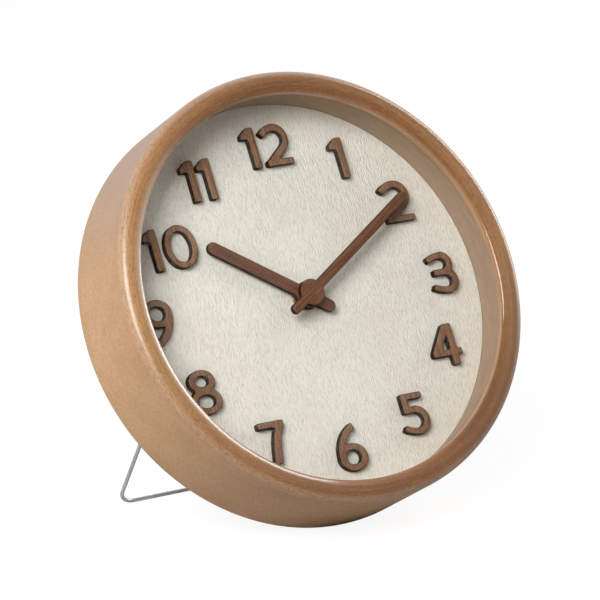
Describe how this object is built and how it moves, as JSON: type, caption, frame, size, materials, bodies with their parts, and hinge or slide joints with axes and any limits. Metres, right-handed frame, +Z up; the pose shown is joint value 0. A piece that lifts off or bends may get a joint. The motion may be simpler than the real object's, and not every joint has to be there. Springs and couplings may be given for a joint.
{
  "type": "desk clock",
  "caption": "Round wooden desk clock with applied wooden numerals, wooden hands behind glass and a folding wire stand at the back.",
  "frame": {"origin": "on the table, under the middle of the leaning clock", "axes": "+Z up, +X to three o'clock, +Y from the front of the clock to its back"},
  "size_m": [0.22, 0.1564, 0.2122],
  "materials": {
    "bentwood": "satin lacquer over fine straight grain",
    "clear_glass": "clear float glass",
    "liner_wood": "matte veneer strip",
    "dial_paper": "cream, finely embossed with upright grain",
    "fibreboard": "plain fibreboard",
    "numeral_wood": "stained, darker cut edges",
    "hand_wood": "red-brown stain, darker cut edges",
    "brass": "turned brass",
    "bright_steel": "ground",
    "wheel_plastic": "natural acetal",
    "knob_plastic": "black, fine texture",
    "case_plastic": "black, fine texture",
    "cell_jacket": "plain gloss jacket",
    "contact_steel": "nickel plated",
    "wire_steel": "bright plated wire"
  },
  "bodies": {
    "case": {"battery": "cell_jacket", "case_liner": "liner_wood", "case_ring": "bentwood", "contact_negative": "contact_steel", "contact_positive": "contact_steel", "dial_board": "fibreboard", "dial_face": "dial_paper", "dial_washer": "brass", "front_glass": "clear_glass", "hex_nut": "brass", "mounting_bush": "brass", "movement_core": "case_plastic", "movement_cover": "case_plastic", "movement_housing": "case_plastic", "numeral_01": "numeral_wood", "numeral_02": "numeral_wood", "numeral_03": "numeral_wood", "numeral_04": "numeral_wood", "numeral_05": "numeral_wood", "numeral_06": "numeral_wood", "numeral_07": "numeral_wood", "numeral_08": "numeral_wood", "numeral_09": "numeral_wood", "numeral_10": "numeral_wood", "numeral_11": "numeral_wood", "numeral_12": "numeral_wood"},
    "minute_set": {"minute_hand": "hand_wood", "minute_collet": "brass", "minute_arbor": "bright_steel"},
    "intermediate_set": {"intermediate_wheel": "wheel_plastic", "setting_knob": "knob_plastic"},
    "hour_set": {"hour_hand": "hand_wood", "hour_wheel": "wheel_plastic"},
    "bail": {"wire_bail": "wire_steel"}
  },
  "joints": [
    {"name": "minute_spin", "type": "hinge", "parent": "case", "child": "minute_set", "pos_m": [0, -0.00823, 0.11134], "axis": [0, 0.8536, -0.521], "continuous": true},
    {"name": "setting_spin", "type": "hinge", "parent": "case", "child": "intermediate_set", "pos_m": [0.012, 0.00543, 0.10301], "axis": [0, 0.8536, -0.521], "continuous": true},
    {"name": "hour_spin", "type": "hinge", "parent": "case", "child": "hour_set", "pos_m": [0, -0.00439, 0.109], "axis": [0, 0.8536, -0.521], "continuous": true},
    {"name": "bail_fold", "type": "hinge", "parent": "case", "child": "bail", "pos_m": [0, 0.0023, 0.07293], "axis": [1, 0, 0], "range_deg": [-50, 125]}
  ],
  "couplings": [
    {"joint": "setting_spin", "follows": "minute_spin", "ratio": -0.33333},
    {"joint": "hour_spin", "follows": "minute_spin", "ratio": 0.083333}
  ]
}
